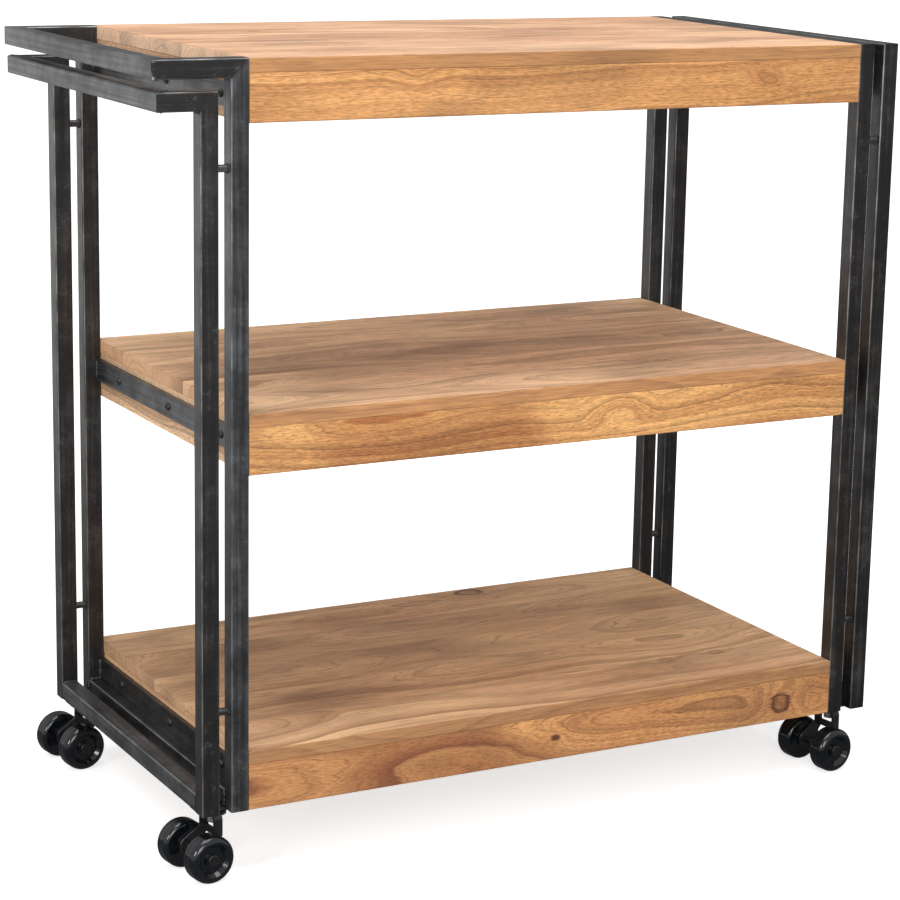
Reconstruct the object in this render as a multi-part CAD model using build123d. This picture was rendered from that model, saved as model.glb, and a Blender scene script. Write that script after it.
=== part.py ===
"""Serving cart: three thick wooden shelves between double square-tube ends, on twin-wheel casters.

Millimetres, +Z up. The drawing is made with x = 0 at the left end of the wood, y = 0 at the front face
and z = 0 on the floor. At the end everything is moved so that the origin is on the floor, under the middle.
The left end (towards -X) carries the handle: two U-shaped loops, one above the other.
"""
import os
from build123d import *

# Wooden shelves
shelf_length = 744.0  # along X, between the two steel ends
shelf_depth = 450.0  # along Y, also the depth of the steel ends
deck_thickness = 15.0
deck_boards = 5
apron_height = 50.0
apron_thickness = 22.0
middle_shelf_rise = 362.0  # feet of the posts to the underside of the middle shelf
eased_edge = 1.5  # rounding of the outer edges of the wood
joint_chamfer = 0.6  # small bevel that draws the line between deck and apron

# Steel ends
frame_height = 788.0  # feet of the posts to the top of the upper deck
tube = 20.0
tube_wall = 1.5
tube_corner = 2.0
frame_gap = 13.0  # clear space between the inner and the outer frame of an end
foot_plate = 2.0  # plate that closes the foot of a post
spacer_diameter = 8.0
spacer_inset = 110.0  # foot or top of a post to the spacer pin

# Handle loops
upper_reach = 103.0  # end of the wood to the outer face of the upper crossbar
lower_reach = 99.0
loop_gap = 12.0  # finger gap between the two loops
handle_corner = 4.0  # rounding of the upper loop's outer corners

# Shelf brackets, flat bars welded between the inner posts
bracket_height = 25.0
bracket_thickness = 5.0
middle_bracket_rise = 19.0  # underside of the middle shelf to its brackets
top_bracket_rise = 12.0  # lower, to clear the handle's upper loop
screw_inset = 62.0  # front face to the first screw
screw_pitch = 148.0
screws_per_bracket = 3
screw_diameter = 5.0
screw_length = 25.0
screw_head_diameter = 9.0
screw_head_height = 3.0
fixed_clearance = 0.05  # radial room round a screw, stem or axle that stays put
head_round = 0.6  # rounding of a screw, axle or stem head, as a share of its height

# Casters
caster_height = 72.0  # floor to the feet of the posts
caster_inset = 32.0  # front or rear face to the swivel axis
caster_trail = 23.0  # swivel axis to the axle
caster_turn = 8.0  # degrees that the standing casters are turned about +Z
wheel_diameter = 52.0
wheel_width = 23.0
wheel_spacing = 57.0  # between the middles of the two wheels
wheel_outer_round = 7.0
wheel_inner_round = 5.0
tread_line_inset = 8.0  # side of a wheel to the middle of a groove in its tread
tread_line_width = 0.8
tread_line_depth = 0.4
wheel_rim = 8.0  # tread to the recess in the outer face
wheel_recess = 5.0
recess_slope = 4.0  # how far the wall of the recess leans in
hub_diameter = 17.0
hub_sink = 2.8  # outer face of the wheel to the end of its hub
wheel_side_gap = 1.0  # wheel to fork leg
axle_diameter = 8.0
axle_head_diameter = 13.0
axle_head_height = 2.0
running_clearance = 0.08  # radial room of a turning fit
end_clearance = 0.3  # room along the axis of a turning piece
fork_sheet = 3.0
fork_bend = 7.0  # outer radius of the bends
fork_race_diameter = 26.0  # round top of the fork
leg_width = 10.0
leg_offset = 4.0  # swivel axis to the middle of a leg, towards the axle
leg_corner = 3.0
leg_knee = 44.0  # level from which the legs sweep back to the axle
fork_lobe = 10.0  # radius of the leg round the axle
bridge_gap = 1.5  # end of the stem to the bridge between the legs
plate_thickness = 3.5  # plate under the rails that carries a caster
plate_margin = 4.0  # outer faces of the rails to the plate
stem_diameter = 8.0
stem_head_diameter = 12.0  # fits between the two rails
stem_head_height = 3.0
stem_end = 1.0  # stem past the nut
washer_diameter = 19.0
washer_thickness = 2.0
nut_across_flats = 13.0
nut_height = 9.0

# Levels and places that follow from the sizes above
foot_level = caster_height
top_level = foot_level + frame_height
shelf_thickness = deck_thickness + apron_height
shelf_undersides = {
    "bottom": foot_level,
    "middle": foot_level + middle_shelf_rise,
    "top": top_level - shelf_thickness,
}
post_y = {"front": tube / 2, "rear": shelf_depth - tube / 2}
caster_y = {"front": caster_inset, "rear": shelf_depth - caster_inset}
inner_x = {"left": -tube / 2, "right": shelf_length + tube / 2}
outer_x = {
    "left": -tube - frame_gap - tube / 2,
    "right": shelf_length + tube + frame_gap + tube / 2,
}
caster_x = {end: (inner_x[end] + outer_x[end]) / 2 for end in inner_x}  # between the two rails
bracket_rise = {"bottom": tube, "middle": middle_bracket_rise, "top": top_bracket_rise}
outward = {"left": -1, "right": 1}
wood_end = {"left": 0.0, "right": shelf_length}
hair = 0.001  # how closely an edge has to lie at a level to count as being there
tube_bore = tube - 2 * tube_wall
screw_y = [screw_inset + i * screw_pitch for i in range(screws_per_bracket)]


def block(x_span, y_span, z_span):
    """Plain block between the given limits."""
    low = Vector(x_span[0], y_span[0], z_span[0])
    high = Vector(x_span[1], y_span[1], z_span[1])
    size = high - low
    return Pos((low + high) * 0.5) * Box(size.X, size.Y, size.Z)


def rod(start, way, length, diameter):
    """Round bar from a point along a direction."""
    return extrude(Plane(start, z_dir=way) * Circle(diameter / 2), length)


def edges_at(edges, axis, level):
    """Those of the edges that lie flat at one level along an axis, within a hair."""
    return edges.filter_by_position(axis, level - hair, level + hair)


# Wooden shelf: glued-up deck, two aprons under its long edges and a rail under each end
def shelf_deck(underside):
    """Boards of one deck, side by side, with the outer edges of the whole deck eased."""
    low = underside + apron_height
    high = low + deck_thickness
    deck = block((0, shelf_length), (0, shelf_depth), (low, high))
    deck = fillet(edges_at(deck.edges(), Axis.Z, high), eased_edge)
    deck = chamfer(edges_at(deck.edges(), Axis.Z, low), joint_chamfer)
    width = shelf_depth / deck_boards
    boards = []
    for i in range(deck_boards):
        strip = block((0, shelf_length), (i * width, (i + 1) * width), (low, high))
        boards.append(deck & strip)
    return boards


def shelf_apron(underside, side):
    """Long edge piece under the front or the rear of a deck."""
    face = {"front": 0.0, "rear": shelf_depth}[side]
    back = {"front": apron_thickness, "rear": shelf_depth - apron_thickness}[side]
    apron = block((0, shelf_length), sorted((face, back)), (underside, underside + apron_height))
    outer_edge = edges_at(edges_at(apron.edges(), Axis.Z, underside), Axis.Y, face)
    return fillet(outer_edge, eased_edge)


def bracket_span(level):
    """Lowest and highest point of a shelf's brackets; the lowest bracket stands on its rail."""
    low = shelf_undersides[level] + bracket_rise[level]
    return low, low + bracket_height


def end_rail(level, end):
    """Short piece under one end of a deck, drilled for the bracket's screws."""
    inside = wood_end[end] - outward[end] * apron_thickness
    underside = shelf_undersides[level]
    rail = block(
        sorted((wood_end[end], inside)),
        (apron_thickness, shelf_depth - apron_thickness),
        (underside, underside + apron_height),
    )
    depth = screw_length - bracket_thickness
    middle = sum(bracket_span(level)) / 2
    for y in screw_y:
        start = Vector(wood_end[end], y, middle)
        rail -= rod(start, (-outward[end], 0, 0), depth, screw_diameter + 2 * fixed_clearance)
    return rail


# Steel tubes
def square_tube(start, end):
    """Hollow square tube along a straight line."""
    section = RectangleRounded(tube, tube, tube_corner) - Rectangle(tube_bore, tube_bore)
    return extrude(Plane(start, z_dir=end - start) * section, (end - start).length)


def mitred_run(corners):
    """Square tubes along straight legs, mitred where they meet, with closed feet at both ends."""
    points = [Vector(*corner) for corner in corners]
    ways = [(b - a).normalized() for a, b in zip(points, points[1:])]
    legs = []
    for i, way in enumerate(ways):
        is_first = i == 0
        is_last = i == len(ways) - 1
        start = points[i] if is_first else points[i] - way * (tube / 2)
        end = points[i + 1] if is_last else points[i + 1] + way * (tube / 2)
        leg = square_tube(start, end)
        if is_first:
            leg += extrude(Plane(start, z_dir=way) * Rectangle(tube_bore, tube_bore), foot_plate)
        else:
            leg = split(leg, Plane(points[i], z_dir=ways[i - 1] + way), keep=Keep.TOP)
        if is_last:
            leg += extrude(Plane(end, z_dir=-way) * Rectangle(tube_bore, tube_bore), foot_plate)
        else:
            leg = split(leg, Plane(points[i + 1], z_dir=way + ways[i + 1]), keep=Keep.BOTTOM)
        legs.append(leg)
    return legs


def handle_frame(post_x, reach, level):
    """Two posts that turn outwards at the top and meet in a crossbar: post, arm, bar, arm, post."""
    bar_x = tube / 2 - reach
    front = post_y["front"]
    rear = post_y["rear"]
    return mitred_run([
        (post_x, front, foot_level),
        (post_x, front, level),
        (bar_x, front, level),
        (bar_x, rear, level),
        (post_x, rear, level),
        (post_x, rear, foot_level),
    ])


def plain_frame(post_x):
    """Two posts with a top rail between them: post, rail, post."""
    level = top_level - tube / 2
    return mitred_run([
        (post_x, post_y["front"], foot_level),
        (post_x, post_y["front"], level),
        (post_x, post_y["rear"], level),
        (post_x, post_y["rear"], foot_level),
    ])


def bottom_rail(rail_x):
    """Tube between the feet of a front and a rear post."""
    level = foot_level + tube / 2
    return square_tube(Vector(rail_x, tube, level), Vector(rail_x, shelf_depth - tube, level))


def shelf_bracket(level, end):
    """Flat bar between the inner posts, against the end of the shelf, with its screw holes."""
    outside = wood_end[end] + outward[end] * bracket_thickness
    bar = block(
        sorted((wood_end[end], outside)),
        (tube, shelf_depth - tube),
        bracket_span(level),
    )
    middle = sum(bracket_span(level)) / 2
    for y in screw_y:
        start = Vector(outside, y, middle)
        hole = screw_diameter + 2 * fixed_clearance
        bar -= rod(start, (-outward[end], 0, 0), bracket_thickness, hole)
    return bar


def bracket_screw(level, end, y):
    """Round-headed screw through a bracket into the shelf's end rail."""
    start = Vector(wood_end[end] + outward[end] * bracket_thickness, y, sum(bracket_span(level)) / 2)
    shank = rod(start, (-outward[end], 0, 0), screw_length, screw_diameter)
    head = rod(start, (outward[end], 0, 0), screw_head_height, screw_head_diameter)
    rim = edges_at(head.edges(), Axis.X, start.X + outward[end] * screw_head_height)
    return fillet(rim, screw_head_height * head_round) + shank


def spacer_pins():
    """Short round pins that hold the outer frame of each end off the inner one."""
    pins = []
    for end, way in outward.items():
        face = inner_x[end] + way * tube / 2
        for y in post_y.values():
            for z in (foot_level + spacer_inset, top_level - spacer_inset):
                pins.append(rod(Vector(face, y, z), (way, 0, 0), frame_gap, spacer_diameter))
    return pins


# One caster, drawn with its swivel axis on Z, its axle along Y and trailing towards -X
axle_level = wheel_diameter / 2
fork_half = (wheel_spacing - wheel_width) / 2 - wheel_side_gap  # middle to the outside of a leg
plate_under = foot_level - plate_thickness
fork_top = plate_under - washer_thickness - end_clearance
nut_top = fork_top - fork_sheet - end_clearance
stem_low = nut_top - nut_height - stem_end


def corner_of(face, x, y):
    """Corner of a flat outline nearest to a point."""
    return face.vertices().sort_by_distance((x, y, 0))[0]


def leg_outline():
    """Side view of a leg: upright below the top plate, then swept back to the axle."""
    half = leg_width / 2
    knee = Pos(-leg_offset, leg_knee) * Circle(half)
    shoulders = [
        Pos(side * (half - leg_corner) - leg_offset, fork_top - leg_corner) * Circle(leg_corner)
        for side in (-1, 1)
    ]
    lobe = Pos(-caster_trail, axle_level) * Circle(fork_lobe)
    upright = make_hull((Sketch() + [knee] + shoulders).edges())
    swept = make_hull((Sketch() + [knee, lobe]).edges())
    return upright + swept


def caster_fork():
    """Bent strap: two bridged legs that reach back to the axle, and a round top that turns on the stem."""
    outside = Pos(0, fork_top / 2) * Rectangle(2 * fork_half, fork_top)
    outside = fillet([corner_of(outside, s * fork_half, fork_top) for s in (-1, 1)], fork_bend)
    inner_half = fork_half - fork_sheet
    inner_top = fork_top - fork_sheet
    inside = Pos(0, inner_top / 2) * Rectangle(2 * inner_half, inner_top)
    inside = fillet([corner_of(inside, s * inner_half, inner_top) for s in (-1, 1)], fork_bend - fork_sheet)
    strap = extrude(Plane.YZ * (outside - inside), caster_trail + 2 * fork_lobe, both=True)
    fork = strap & extrude(Plane.XZ * leg_outline(), fork_half, both=True)
    fork += rod(Vector(0, 0, inner_top), (0, 0, 1), fork_sheet, fork_race_diameter)
    bridge_face = -leg_offset - leg_width / 2
    bridge_levels = (leg_knee, stem_low - bridge_gap)
    fork += block((bridge_face, bridge_face + fork_sheet), (-inner_half, inner_half), bridge_levels)
    fork -= rod(Vector(0, 0, inner_top), (0, 0, 1), fork_sheet, stem_diameter + 2 * running_clearance)
    axle_hole = axle_diameter + 2 * fixed_clearance
    return fork - rod(Vector(-caster_trail, -fork_half, axle_level), (0, 1, 0), 2 * fork_half, axle_hole)


hub_end = (wheel_spacing + wheel_width) / 2 - hub_sink  # middle of the caster to the end of a hub


def caster_axle():
    """Pin through both legs and both wheels, with a round head at each end."""
    shoulder = hub_end + end_clearance
    axle = rod(Vector(-caster_trail, -shoulder, axle_level), (0, 1, 0), 2 * shoulder, axle_diameter)
    for side in (-1, 1):
        seat = Vector(-caster_trail, side * shoulder, axle_level)
        head = rod(seat, (0, side, 0), axle_head_height, axle_head_diameter)
        rim = edges_at(head.edges(), Axis.Y, side * (shoulder + axle_head_height))
        axle += fillet(rim, axle_head_height * head_round)
    return axle


def caster_wheel(side):
    """Moulded wheel with a round tread, a recessed outer face and a hub, on side -1 or 1 of the fork."""
    bore = axle_diameter / 2 + running_clearance
    tread = wheel_diameter / 2
    web = wheel_width - wheel_recess
    rim = tread - wheel_rim
    section = make_face(Polyline(
        (bore, 0),
        (tread, 0),
        (tread, wheel_width),
        (rim, wheel_width),
        (rim - recess_slope, web),
        (hub_diameter / 2, web),
        (hub_diameter / 2, wheel_width - hub_sink),
        (bore, wheel_width - hub_sink),
        close=True,
    ))
    section = fillet([corner_of(section, tread, wheel_width)], wheel_outer_round)
    section = fillet([corner_of(section, tread, 0)], wheel_inner_round)
    for level in (tread_line_inset, wheel_width - tread_line_inset):
        section -= Pos(tread - tread_line_depth / 2, level) * Rectangle(tread_line_depth, tread_line_width)
    wheel = revolve(Plane.XZ * section, Axis.Z)
    face = wheel_spacing / 2 - wheel_width / 2
    return Plane((-caster_trail, side * face, axle_level), z_dir=(0, side, 0)) * wheel


def caster_plate():
    """Flat plate welded under both bottom rails, from the back of the post on."""
    width = 2 * tube + frame_gap - 2 * plate_margin
    length = 2 * (caster_inset - tube)
    plate = Pos(0, 0, plate_under + plate_thickness / 2) * Box(width, length, plate_thickness)
    hole = stem_diameter + 2 * fixed_clearance
    return plate - rod(Vector(0, 0, plate_under), (0, 0, 1), plate_thickness, hole)


def caster_stem():
    """King bolt: a low round head on the plate, between the rails, and a shank down into the nut."""
    head = rod(Vector(0, 0, foot_level), (0, 0, 1), stem_head_height, stem_head_diameter)
    rim = edges_at(head.edges(), Axis.Z, foot_level + stem_head_height)
    head = fillet(rim, stem_head_height * head_round)
    return head + rod(Vector(0, 0, stem_low), (0, 0, 1), foot_level - stem_low, stem_diameter)


def caster_washer():
    """Thrust washer between the plate and the top of the fork."""
    start = Vector(0, 0, plate_under - washer_thickness)
    disc = rod(start, (0, 0, 1), washer_thickness, washer_diameter)
    return disc - rod(start, (0, 0, 1), washer_thickness, stem_diameter + 2 * fixed_clearance)


def caster_nut():
    """Hexagon nut that holds the fork up from below."""
    seat = Plane((0, 0, nut_top - nut_height))
    hexagon = RegularPolygon(nut_across_flats / 2, 6, major_radius=False)
    return extrude(seat * (hexagon - Circle(stem_diameter / 2 + fixed_clearance)), nut_height)


# Every node by name; a node of several solids is a list
nodes = {}

for level, underside in shelf_undersides.items():
    nodes[f"{level}_deck"] = shelf_deck(underside)
    nodes[f"{level}_front_apron"] = shelf_apron(underside, "front")
    nodes[f"{level}_rear_apron"] = shelf_apron(underside, "rear")
    nodes[f"{level}_end_rails"] = [end_rail(level, end) for end in outward]
    for end in outward:
        nodes[f"{level}_{end}_bracket"] = shelf_bracket(level, end)

upper_loop_level = top_level - tube / 2
lower_loop_level = upper_loop_level - tube - loop_gap
handle_pieces = ["front_post", "front_arm", "bar", "rear_arm", "rear_post"]
loops = {
    "inner": ("upper", handle_frame(inner_x["left"], upper_reach, upper_loop_level)),
    "outer": ("lower", handle_frame(outer_x["left"], lower_reach, lower_loop_level)),
}
loop_plan = Pos(-upper_reach / 2, shelf_depth / 2) * Rectangle(upper_reach, shelf_depth)
loop_plan = fillet([corner_of(loop_plan, -upper_reach, y) for y in (0, shelf_depth)], handle_corner)
loop_block = Pos(0, 0, top_level - tube) * extrude(loop_plan, tube)
for frame, (loop, legs) in loops.items():
    for piece, leg in zip(handle_pieces, legs):
        if piece.endswith("post"):
            nodes[f"left_{frame}_{piece}"] = leg
        elif loop == "upper":
            nodes[f"upper_handle_{piece}"] = leg & loop_block
        else:
            nodes[f"lower_handle_{piece}"] = leg

for frame, frame_x in (("inner", inner_x["right"]), ("outer", outer_x["right"])):
    for piece, leg in zip(("front_post", "top_rail", "rear_post"), plain_frame(frame_x)):
        nodes[f"right_{frame}_{piece}"] = leg

for end in outward:
    for frame, frame_x in (("inner", inner_x[end]), ("outer", outer_x[end])):
        nodes[f"{end}_{frame}_bottom_rail"] = bottom_rail(frame_x)

nodes["bracket_screws"] = [
    bracket_screw(level, end, y) for level in shelf_undersides for end in outward for y in screw_y
]
nodes["spacer_pins"] = spacer_pins()

fixed_pieces = {
    "caster_plates": caster_plate(),
    "caster_stems": caster_stem(),
    "caster_washers": caster_washer(),
    "caster_nuts": caster_nut(),
}
turning_pieces = {
    "fork": caster_fork(),
    "axle": caster_axle(),
    "front_wheel": caster_wheel(-1),
    "rear_wheel": caster_wheel(1),
}
for name in fixed_pieces:
    nodes[name] = []
for side, y in caster_y.items():
    for end, x in caster_x.items():
        for name, piece in fixed_pieces.items():
            nodes[name].append(Pos(x, y, 0) * piece)
        for name, piece in turning_pieces.items():
            nodes[f"{side}_{end}_caster_{name}"] = Pos(x, y, 0) * Rot(0, 0, caster_turn) * piece

# Origin on the floor under the middle of the cart
shapes = {}
for name, piece in nodes.items():
    pieces = piece if isinstance(piece, list) else [piece]
    shapes[name] = Compound([solid for item in pieces for solid in item.solids()])
whole = Compound(list(shapes.values())).bounding_box()
to_origin = Pos(-whole.center().X, -whole.center().Y, -whole.min.Z)

os.makedirs("parts", exist_ok=True)
for name, shape in shapes.items():
    export_step(to_origin * shape, f"parts/{name}.step")
print(len(shapes), "nodes, overall size", [round(v, 2) for v in whole.size])
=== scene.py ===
# %% [markdown]
# # A serving cart of oiled acacia and blackened steel
# The solids of the cart come from CAD and stay as they are. Here they get their finishes, and the small
# things that a solid model leaves out are added: raw weld beads, rings of weld round the spacer pins,
# ground seams, a dark patch of painted shade on one corner of the handle and cross-head screws. Everything
# is in metres, with +Z up and the floor at zero.

# %% Load the solids
import math

import bpy
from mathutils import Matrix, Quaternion, Vector


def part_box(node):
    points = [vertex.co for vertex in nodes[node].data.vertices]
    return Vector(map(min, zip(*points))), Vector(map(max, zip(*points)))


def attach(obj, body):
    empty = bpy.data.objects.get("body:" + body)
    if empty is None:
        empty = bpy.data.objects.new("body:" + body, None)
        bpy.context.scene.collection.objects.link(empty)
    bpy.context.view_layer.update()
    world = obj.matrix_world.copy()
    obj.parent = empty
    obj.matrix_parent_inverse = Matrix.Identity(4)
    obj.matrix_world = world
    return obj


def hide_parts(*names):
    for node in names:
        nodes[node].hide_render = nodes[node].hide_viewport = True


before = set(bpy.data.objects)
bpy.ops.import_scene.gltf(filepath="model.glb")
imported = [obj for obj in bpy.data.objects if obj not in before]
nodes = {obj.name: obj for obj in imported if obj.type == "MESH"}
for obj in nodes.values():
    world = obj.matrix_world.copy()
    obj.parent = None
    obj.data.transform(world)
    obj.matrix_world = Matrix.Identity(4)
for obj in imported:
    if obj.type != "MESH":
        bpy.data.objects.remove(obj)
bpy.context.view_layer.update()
box = {name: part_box(name) for name in nodes}

# %% [markdown]
# ## Helpers
# Colours are written as the hex values that a colour picker shows, and Blender's shaders work in linear
# light, so one function converts them. A second function adds any node to any tree: it sets the node's
# options, feeds its inputs with plain values or with other nodes' outputs, and hands back one output.


# %% Helpers for colours and nodes
def linear(hex_colour):
    """Linear RGBA of an sRGB hex colour."""
    parts = [int(hex_colour[i:i + 2], 16) / 255 for i in (1, 3, 5)]
    return tuple(c / 12.92 if c <= 0.04045 else ((c + 0.055) / 1.055) ** 2.4 for c in parts) + (1.0,)


def add(tree, kind, feeds=None, out=0, stops=(), **settings):
    """Adds a node, sets its options, feeds its inputs and returns one of its outputs.

    A feed is a plain value, another node's output, or a list of outputs for an input that takes several.
    The stops of a colour ramp are pairs of place and hex colour."""
    node = tree.nodes.new(kind)
    for key, value in settings.items():
        setattr(node, key, value)
    if stops:
        elements = node.color_ramp.elements
        while len(elements) < len(stops):
            elements.new(0.5)
        for element, (place, colour) in zip(elements, stops):
            element.position = place
            element.color = linear(colour)
    for key, value in (feeds or {}).items():
        sources = value if isinstance(value, list) else [value]
        for source in sources:
            if isinstance(source, bpy.types.NodeSocket):
                tree.links.new(source, node.inputs[key])
            else:
                node.inputs[key].default_value = source
    return node.outputs[out] if node.outputs else None


def new_material(name):
    """Empty node material and its tree."""
    material = bpy.data.materials.new(name)
    material.use_nodes = True
    material.node_tree.nodes.clear()
    return material, material.node_tree


def new_object(name, data):
    """Object in the scene, at the origin."""
    thing = bpy.data.objects.new(name, data)
    bpy.context.scene.collection.objects.link(thing)
    return thing


def dress(node, material):
    """Gives a CAD node one material."""
    nodes[node].data.materials.clear()
    nodes[node].data.materials.append(material)


# %% [markdown]
# ## Camera
# The camera stands where the photograph was taken from: in front of the cart, to the left of it and a
# little above the top shelf, some 2.9 m away. Set by eye, it would never quite fit, so it was worked out
# from the corners of the shelves. A long lens keeps the upright posts nearly parallel.

# %% Camera
photo_size = 900
focal_pixels = 2659.13
picture_middle = (513.77, 422.23)
camera_place = Vector((-1.40428, -2.65990, 1.08294))
camera_aim = Vector((0.47714, 0.85177, -0.21637))
camera_roll = math.radians(1.316)

camera = new_object("camera", bpy.data.cameras.new("camera"))
camera.data.sensor_width = 36.0
camera.data.lens = camera.data.sensor_width * focal_pixels / photo_size
camera.data.shift_x = -(picture_middle[0] - photo_size / 2) / photo_size
camera.data.shift_y = (picture_middle[1] - photo_size / 2) / photo_size
camera.location = camera_place
camera.rotation_mode = "QUATERNION"
camera.rotation_quaternion = camera_aim.to_track_quat("-Z", "Y") @ Quaternion((0, 0, 1), camera_roll)
bpy.context.scene.camera = camera
print("lens", round(camera.data.lens, 1), "mm")

# %% [markdown]
# ## Floor
# The cart stands on pale paper. Lamps alone would leave the paper grey, and brighter lamps would bleach the
# wood, so the paper glows for the camera only: plain white away from the cart and a little less under it,
# where the soft shadow by the wheels stays. What makes black steel look black is what it mirrors: a glossy
# face shows what lies opposite to it. From here the front faces show the floor at the right, so to glossy
# rays the floor is dark on that side and near the cart.

# %% Floor
floor_half = 30.0
white_from, white_to = 0.7, 1.6  # metres from the middle over which the floor turns plain white
glow_under = 0.68  # glow of the paper under the cart, where 1 is plain white
dark_way = (1.0, 0.0, 0.0)  # towards the dark side of the floor
mirror_from, mirror_to = -2.5, 1.9  # metres that way over which the mirrored floor darkens
mirror_light, mirror_dark = 1.35, 0.1  # its levels there
shade_from, shade_to = 0.45, 3.2  # metres from the middle over which the shade of the cart on it ends
shade_level = 0.22

floor_mesh = bpy.data.meshes.new("floor")
floor_corners = [(x * floor_half, y * floor_half, 0) for x, y in ((-1, -1), (1, -1), (1, 1), (-1, 1))]
floor_mesh.from_pydata(floor_corners, [], [(0, 1, 2, 3)])
floor = new_object("floor", floor_mesh)

floor_paper, tree = new_material("white_paper_floor")
rays = add(tree, "ShaderNodeLightPath").node.outputs
place = add(tree, "ShaderNodeTexCoord", out="Object")
away = add(tree, "ShaderNodeVectorMath", {0: place}, out="Value", operation="LENGTH")
feeds = {"Value": away, "From Min": white_from, "From Max": white_to, "To Min": glow_under, "To Max": 1.0}
lift = add(tree, "ShaderNodeMapRange", feeds, interpolation_type="SMOOTHSTEP")
lift = add(tree, "ShaderNodeMath", {0: lift, 1: rays["Is Camera Ray"]}, operation="MULTIPLY")
paper = add(tree, "ShaderNodeBsdfDiffuse", {"Color": linear("#dcdcdc")})
glow = add(tree, "ShaderNodeEmission", {"Strength": lift})
seen = add(tree, "ShaderNodeAddShader", {0: paper, 1: glow})

towards = add(tree, "ShaderNodeVectorMath", {0: place, 1: dark_way}, out="Value", operation="DOT_PRODUCT")
feeds = {"Value": towards, "From Min": mirror_from, "From Max": mirror_to}
feeds |= {"To Min": mirror_light, "To Max": mirror_dark}
mirrored = add(tree, "ShaderNodeMapRange", feeds)
feeds = {"Value": away, "From Min": shade_from, "From Max": shade_to, "To Min": shade_level, "To Max": 1.0}
shade = add(tree, "ShaderNodeMapRange", feeds)
mirrored = add(tree, "ShaderNodeMath", {0: mirrored, 1: shade}, operation="MULTIPLY")
mirrored = add(tree, "ShaderNodeEmission", {"Strength": mirrored})
both = add(tree, "ShaderNodeMixShader", {0: rays["Is Glossy Ray"], 1: seen, 2: mirrored})
add(tree, "ShaderNodeOutputMaterial", {"Surface": both})
floor.data.materials.append(floor_paper)
print("floor", 2 * floor_half, "m wide")

# %% [markdown]
# ## Room
# A white room lights the cart softly from all sides. The top faces of the steel mirror the wall behind the
# cart, so to glossy rays that wall is dark, with a soft border. Real dark boards would do the same, but
# they would also take light from the wood. The camera sees plain white.

# %% Room
far_way = (0.6, 0.78, 0.17)  # towards the dark wall behind the cart
wall_from, wall_to = 0.4, 0.95  # nearness to that way at the wall's border and in its middle
room_mirrored, wall_mirrored = 0.75, 0.25  # levels that glossy faces show
room_level = 0.4  # light that the room gives to matt faces

world = bpy.data.worlds.new("white_room")
world.use_nodes = True
bpy.context.scene.world = world
tree = world.node_tree
tree.nodes.clear()
rays = add(tree, "ShaderNodeLightPath").node.outputs
way = add(tree, "ShaderNodeTexCoord", out="Generated")
towards = add(tree, "ShaderNodeVectorMath", {0: way, 1: far_way}, out="Value", operation="DOT_PRODUCT")
feeds = {"Value": towards, "From Min": wall_from, "From Max": wall_to}
feeds |= {"To Min": room_mirrored, "To Max": wall_mirrored}
level = add(tree, "ShaderNodeMapRange", feeds, interpolation_type="SMOOTHSTEP")
level = add(tree, "ShaderNodeMix", {0: rays["Is Diffuse Ray"], 2: level, 3: room_level}, data_type="FLOAT")
level = add(tree, "ShaderNodeMix", {0: rays["Is Camera Ray"], 2: level, 3: 1.0}, data_type="FLOAT")
room = add(tree, "ShaderNodeBackground", {"Color": (1, 1, 1, 1), "Strength": level})
add(tree, "ShaderNodeOutputWorld", {"Surface": room})
print("room light", room_level)

# %% [markdown]
# ## Lamps
# Three large soft lamps, as in a studio: one overhead, one at the front left and one at the left. A small
# lamp would draw hard shadows and hot spots on the steel, and the photograph has neither.

# %% Lamps
lamps = {  # place, point that it faces, size across, watts
    "overhead_softbox": ((-0.2, -0.3, 3.0), (0.0, 0.0, 0.5), 2.2, 62.0),
    "front_softbox": ((-1.2, -3.5, 1.7), (0.0, 0.0, 0.5), 1.8, 58.0),
    "left_softbox": ((-2.9, -1.4, 1.3), (-0.2, 0.0, 0.5), 0.9, 28.0),
}
for name, (place, faces, size, watts) in lamps.items():
    lamp = new_object(name, bpy.data.lights.new(name, "AREA"))
    lamp.data.size = size
    lamp.data.energy = watts
    lamp.location = place
    lamp.rotation_mode = "QUATERNION"
    lamp.rotation_quaternion = (Vector(faces) - Vector(place)).to_track_quat("-Z", "Y")
bpy.context.scene.view_settings.view_transform = "Standard"
print("lamps", list(lamps))

# %% [markdown]
# ## Oiled acacia
# Acacia is a warm, lively wood: golden sapwood, reddish heartwood, dark growth lines and fine open pores.
# Painting each face by itself would break the grain at every edge. Instead the wood is made as a tree
# grows: each board has a pith, a line along it that wanders up and down, and the growth rings are shells
# around that line. What shows on a face is then a cut through the rings, so arches appear on the broad
# faces and rings on the ends, and both meet at the edges. The next cells build this up, one part of the
# wood in each.

# %% Sizes of the grain
# In metres
fine_width = 0.0023  # between two fine growth lines
ring_width = 0.0075  # between two strong growth lines
streak_width = 0.021  # between two streaks of heartwood
small_knot = 0.005  # a knot up to this radius is dark all through, and a larger one has a paler core
glue_line = 0.0007  # half the width of the dark line between two boards of a deck
pore_depth = 0.0004
# Per metre along the grain, across it and into it
flecks = (330, 800, 800)  # pale flecks 3 mm long
clouds = (2.6, 9, 9)  # slow changes of colour, 380 mm long and 110 mm wide
smoke = (4.5, 11, 11)  # smoky patches, 220 mm long and 90 mm wide
pith_bends = 2.6  # bends of the pith, 380 mm apart
print("growth lines", 1000 * fine_width, "and", 1000 * ring_width, "mm apart")

# %% [markdown]
# ### Boards
# A deck is glued from boards that were cut from different places, so the grain breaks at each joint. A
# point is given the number of its board, and from that number come chance values that stay the same all
# over the board.

# %% Boards
board_step = 7.13  # keeps the numbers of neighbouring boards well apart


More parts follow.
